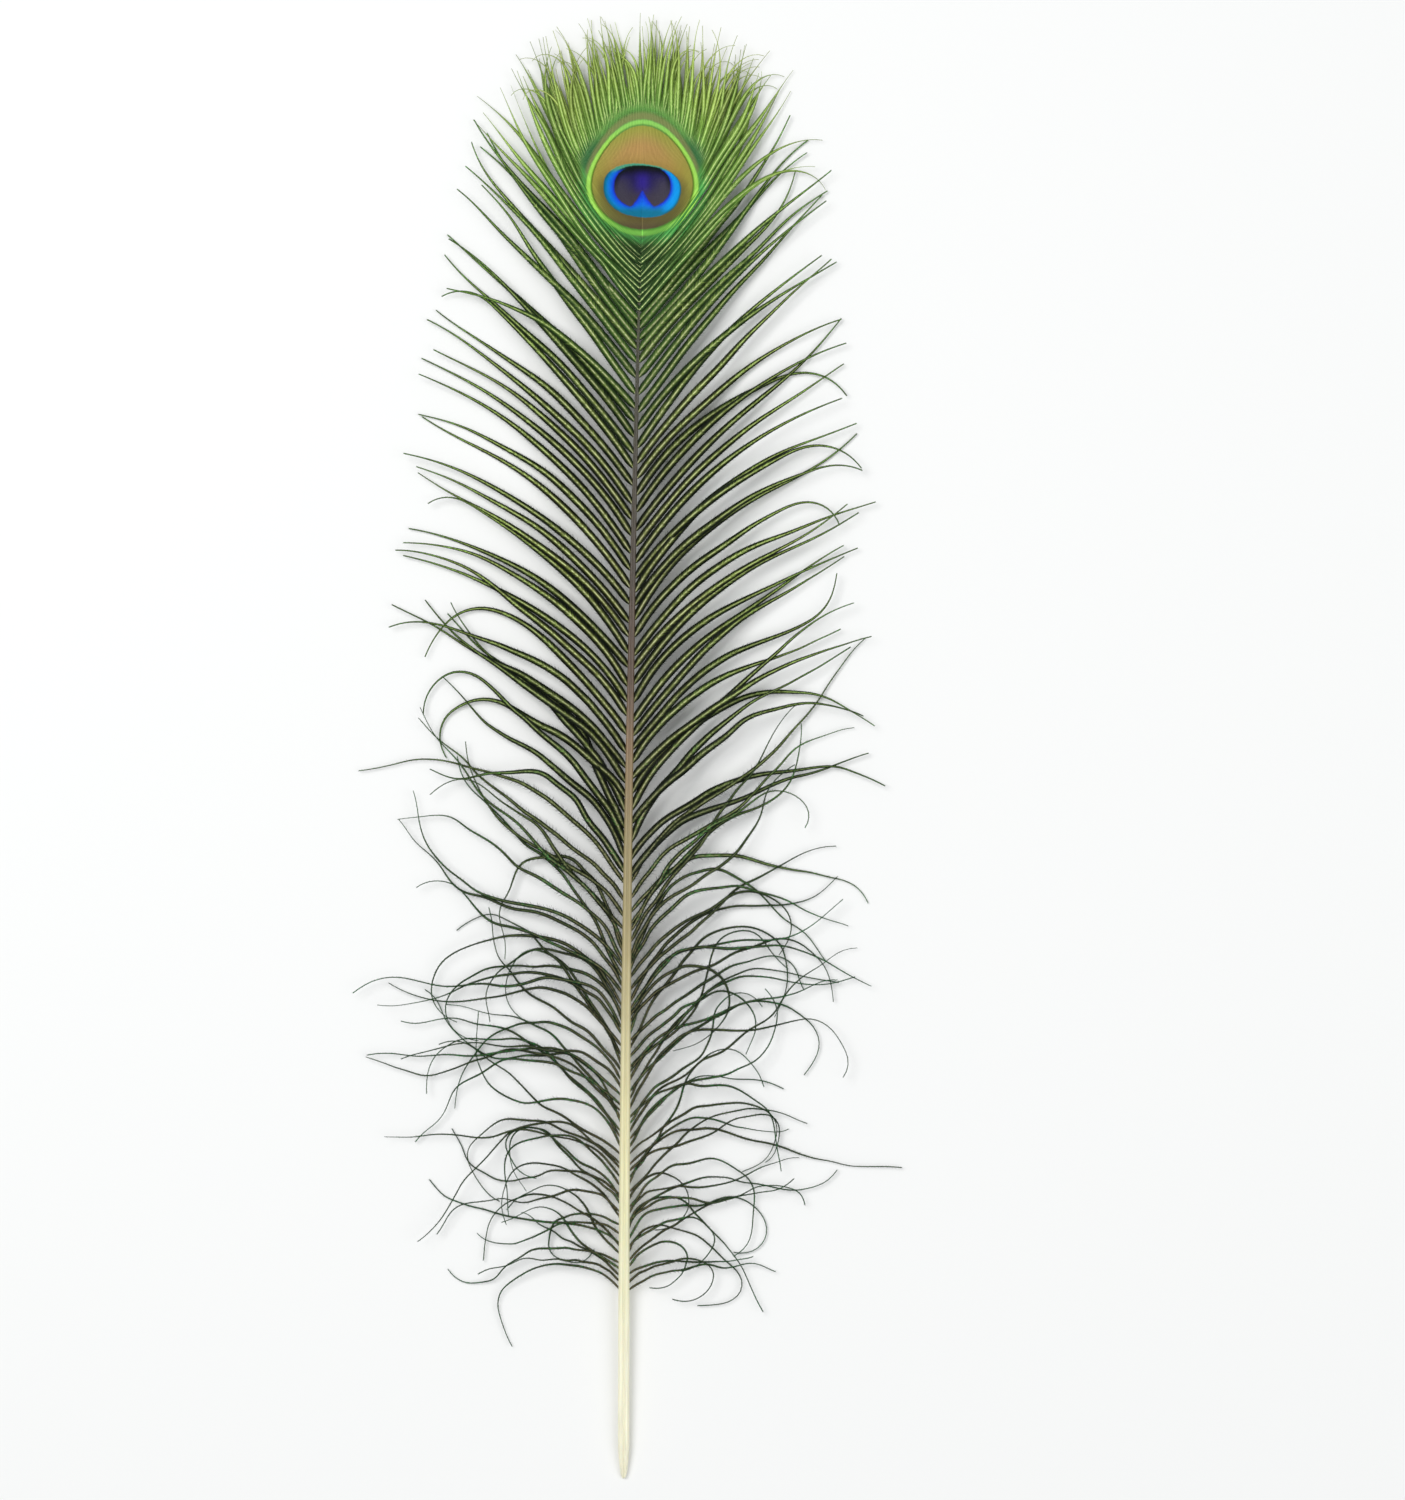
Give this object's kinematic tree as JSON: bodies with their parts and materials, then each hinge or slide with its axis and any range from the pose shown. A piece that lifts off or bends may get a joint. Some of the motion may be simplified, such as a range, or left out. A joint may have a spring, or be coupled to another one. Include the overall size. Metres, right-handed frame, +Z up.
{
  "type": "peacock feather",
  "caption": "Single peacock tail feather lying face up: a tapering cream-to-brown shaft with loose green barbs on both sides and a bronze, blue and violet eye at its tip.",
  "frame": {"origin": "on the surface that the feather lies on, under the middle of its bounding box", "axes": "+Y runs along the feather from the quill's end to the eye, +X is to the right seen from above with the eye at the top, +Z is up off the surface, out of the eye's coloured face"},
  "size_m": [0.116, 0.317, 0.007],
  "materials": {
    "horn": "satin",
    "eye_web": "satin",
    "vane_barbs": "satin",
    "down_barbs": "matte"
  },
  "bodies": {
    "root": {"shaft": "horn", "eye": "eye_web", "vane_left": "vane_barbs", "vane_right": "vane_barbs", "down_left": "down_barbs", "down_right": "down_barbs"}
  },
  "joints": []
}
